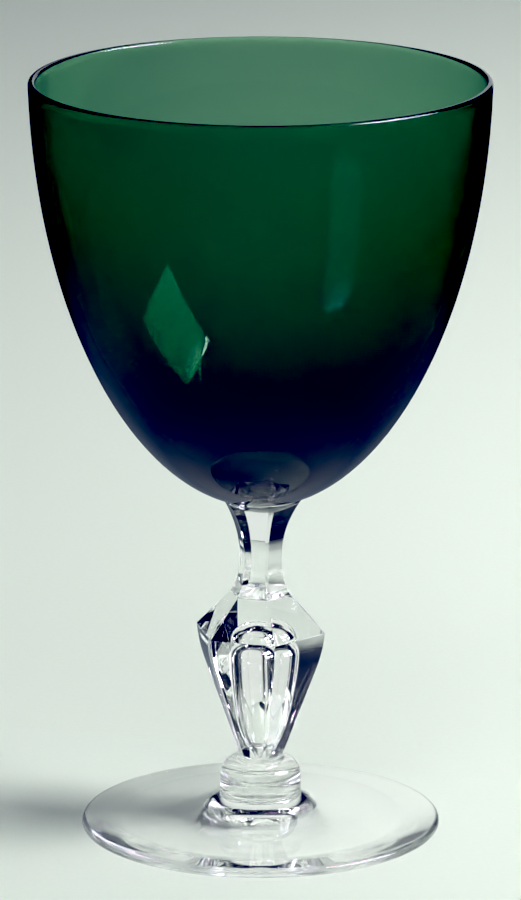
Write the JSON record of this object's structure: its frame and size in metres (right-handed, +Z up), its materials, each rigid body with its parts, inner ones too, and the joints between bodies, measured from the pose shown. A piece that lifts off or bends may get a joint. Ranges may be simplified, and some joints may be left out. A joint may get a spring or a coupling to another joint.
{
  "type": "water goblet",
  "caption": "Stemmed water goblet with a deep green egg-shaped bowl on a clear cut stem that holds an air tear, with a button and a flat round foot.",
  "frame": {"origin": "centre of the foot on the plane that the goblet stands on", "axes": "+Z up along the goblet's axis, out of the bowl's mouth; one flat of the stem faces 17.5 degrees from -Y towards -X"},
  "size_m": [0.095, 0.095, 0.159],
  "materials": {
    "green_glass": "blown deep green glass, fire-polished, darker where it is thick",
    "clear_glass": "clear colourless glass, cut flats polished on the stem"
  },
  "bodies": {
    "root": {"bowl": "green_glass", "stem": "clear_glass", "button": "clear_glass", "foot": "clear_glass"}
  },
  "joints": []
}
